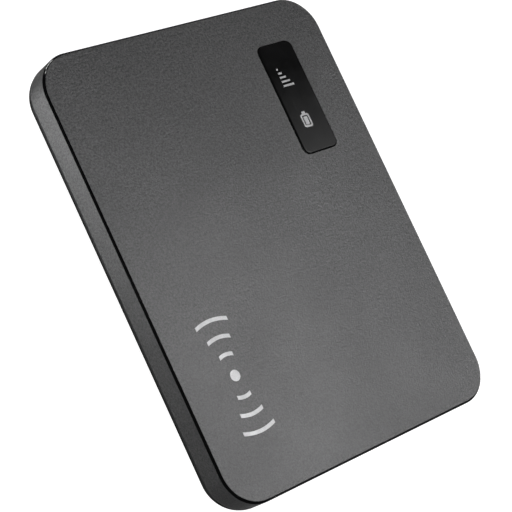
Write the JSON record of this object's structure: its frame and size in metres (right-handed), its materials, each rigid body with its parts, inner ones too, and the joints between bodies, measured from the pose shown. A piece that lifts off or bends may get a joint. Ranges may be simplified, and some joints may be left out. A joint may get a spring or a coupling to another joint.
{
  "type": "mobile hotspot",
  "caption": "Flat pocket radio router with a raised display window, a rounded lift-off back cover, a removable battery and a SIM card.",
  "frame": {"origin": "bottom centre of the body, on the flat back it rests on", "axes": "+X along the short side towards the display window, +Y along the long side towards the side key, +Z out of the front face"},
  "size_m": [0.069, 0.09, 0.0103],
  "materials": {
    "sand_paint": "sprayed dark grey with a fine sandy grain",
    "bezel_black": "polished black",
    "cover_black": "satin black",
    "lens_black": "clear hard-coated window, black behind",
    "icon_print": "pale print under a clear coat",
    "symbol_print": "silver pad print",
    "tape": "black double-sided foam tape",
    "foam": "fine-celled black foam",
    "dark_plastic": "black glass-filled moulding",
    "key_plastic": "satin black",
    "grey_key": "light grey",
    "milky_film": "milky diffuser",
    "led": "clear resin over phosphor",
    "steel": "stamped stainless steel",
    "tin_plate": "dull tin plate",
    "gold": "gold flash",
    "board": "green solder mask with copper tracks",
    "chip": "moulded epoxy",
    "passives": "tan ceramic with tinned ends",
    "thermal_pad": "soft grey pad",
    "antenna_film": "copper on amber film",
    "card_plastic": "white card",
    "cell_wrap": "drawn aluminium can",
    "battery_label": "laminated sleeve with plain bands",
    "label_paper": "blank satin label"
  },
  "bodies": {
    "main_unit": {"front_panel": "sand_paint", "side_frame": "sand_paint", "bezel_ring": "bezel_black", "display_lens": "lens_black", "signal_icon": "icon_print", "battery_icon": "icon_print", "front_symbol": "symbol_print", "lens_adhesive": "tape", "light_shroud": "dark_plastic", "light_diffuser": "milky_film", "indicator_leds": "led", "chassis": "dark_plastic", "chassis_screws": "steel", "main_board": "board", "modem_shield": "tin_plate", "rf_shield": "tin_plate", "wifi_shield": "tin_plate", "modem_chip": "chip", "memory_chip": "chip", "rf_chip": "chip", "wifi_chip": "chip", "power_chip": "chip", "board_passives": "passives", "thermal_pad": "thermal_pad", "main_antenna": "antenna_film", "diversity_antenna": "antenna_film", "wifi_antenna": "antenna_film", "antenna_springs": "gold", "usb_shell": "steel", "usb_tongue": "dark_plastic", "usb_contacts": "gold", "power_switch": "steel", "wps_dome": "steel", "reset_switch": "steel", "sim_cover": "steel", "sim_base": "dark_plastic", "sim_contacts": "gold", "battery_connector": "dark_plastic", "battery_springs": "gold", "rating_label": "label_paper"},
    "back_cover": {"back_cover": "cover_black", "cover_foam": "foam"},
    "battery": {"battery_pack": "cell_wrap", "battery_cap": "dark_plastic", "battery_contacts": "gold", "battery_label": "battery_label"},
    "power_key": {"power_button": "key_plastic"},
    "wps_key": {"wps_button": "grey_key"},
    "reset_pin": {"reset_plunger": "key_plastic"},
    "sim": {"sim_card": "card_plastic", "sim_card_pads": "gold"}
  },
  "joints": [
    {"name": "cover_release", "type": "slide", "parent": "main_unit", "child": "back_cover", "axis": [0, 0, -1], "range_m": [0, 0.03]},
    {"name": "battery_lift", "type": "slide", "parent": "main_unit", "child": "battery", "axis": [0, 0, -1], "range_m": [0, 0.015]},
    {"name": "power_press", "type": "slide", "parent": "main_unit", "child": "power_key", "axis": [0, -1, 0], "range_m": [0, 0.0003], "stiffness_N_per_m": 400},
    {"name": "wps_press", "type": "slide", "parent": "main_unit", "child": "wps_key", "axis": [0, 0, 1], "range_m": [0, 0.00025], "stiffness_N_per_m": 400},
    {"name": "reset_press", "type": "slide", "parent": "main_unit", "child": "reset_pin", "axis": [0, 0, 1], "range_m": [0, 0.00025], "stiffness_N_per_m": 200},
    {"name": "sim_slide", "type": "slide", "parent": "main_unit", "child": "sim", "axis": [1, 0, 0], "range_m": [0, 0.014]}
  ],
  "couplings": [
    {"joint": "battery_lift", "follows": "cover_release", "ratio": 0.5}
  ]
}
